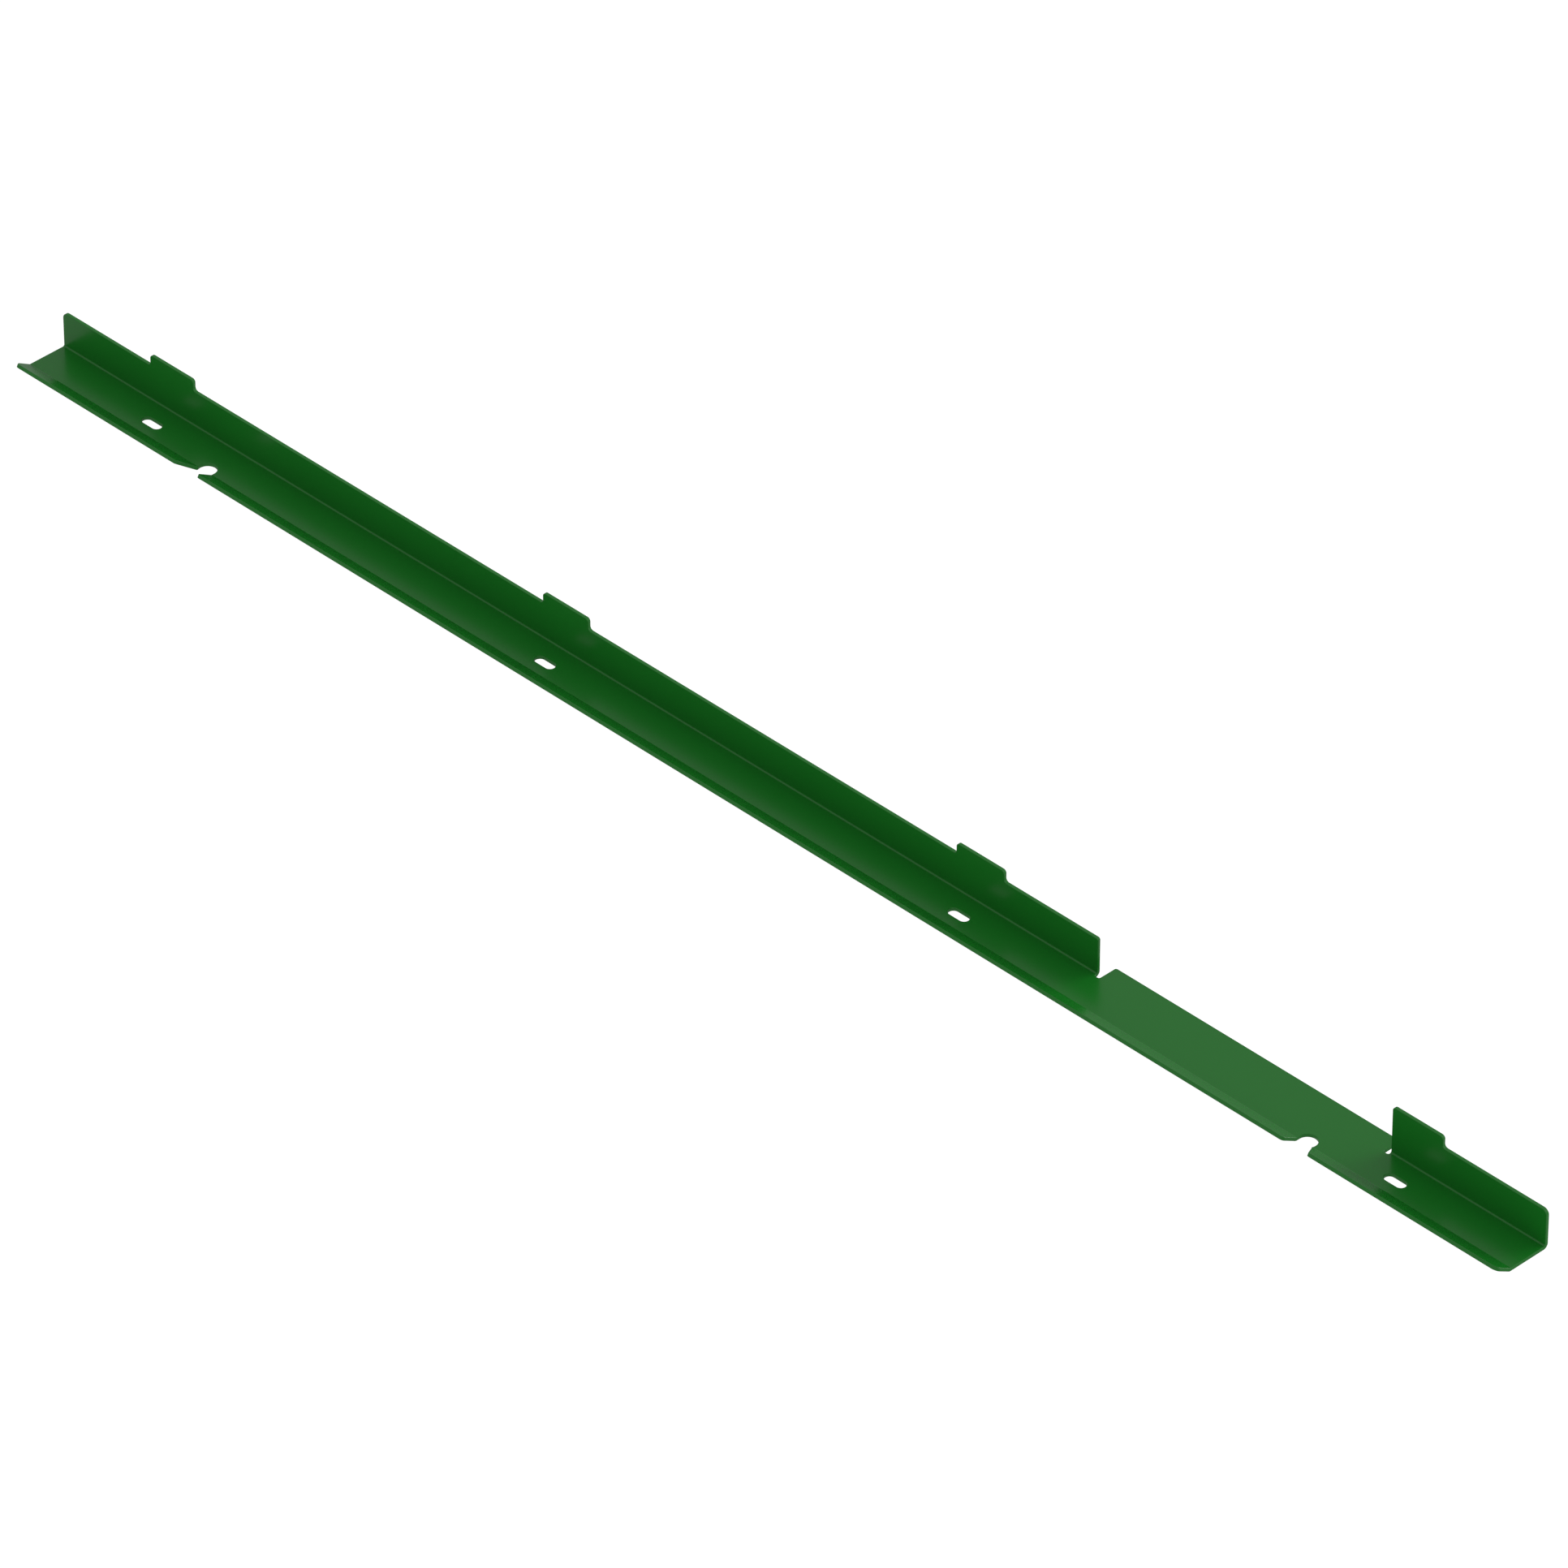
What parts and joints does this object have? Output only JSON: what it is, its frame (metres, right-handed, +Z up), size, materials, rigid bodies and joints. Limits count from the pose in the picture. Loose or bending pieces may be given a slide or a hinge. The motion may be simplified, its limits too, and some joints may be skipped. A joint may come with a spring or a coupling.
{
  "type": "straight guide rail",
  "caption": "Long painted sheet-steel guide rail: flat slotted web, upright back flange with raised tabs and a gap, and a low bent-up front lip with notches.",
  "frame": {"origin": "mid-length, on the bolt slots' centre line, on the web's underside", "axes": "+X along the rail towards the end that is nearer in the picture, +Y from the lip to the flange, +Z up, away from the face it is bolted to"},
  "size_m": [1.6, 0.0676, 0.045],
  "materials": {
    "green_paint": "dark green satin machine enamel on sheet steel"
  },
  "bodies": {
    "root": {"guide_rail": "green_paint"}
  },
  "joints": []
}
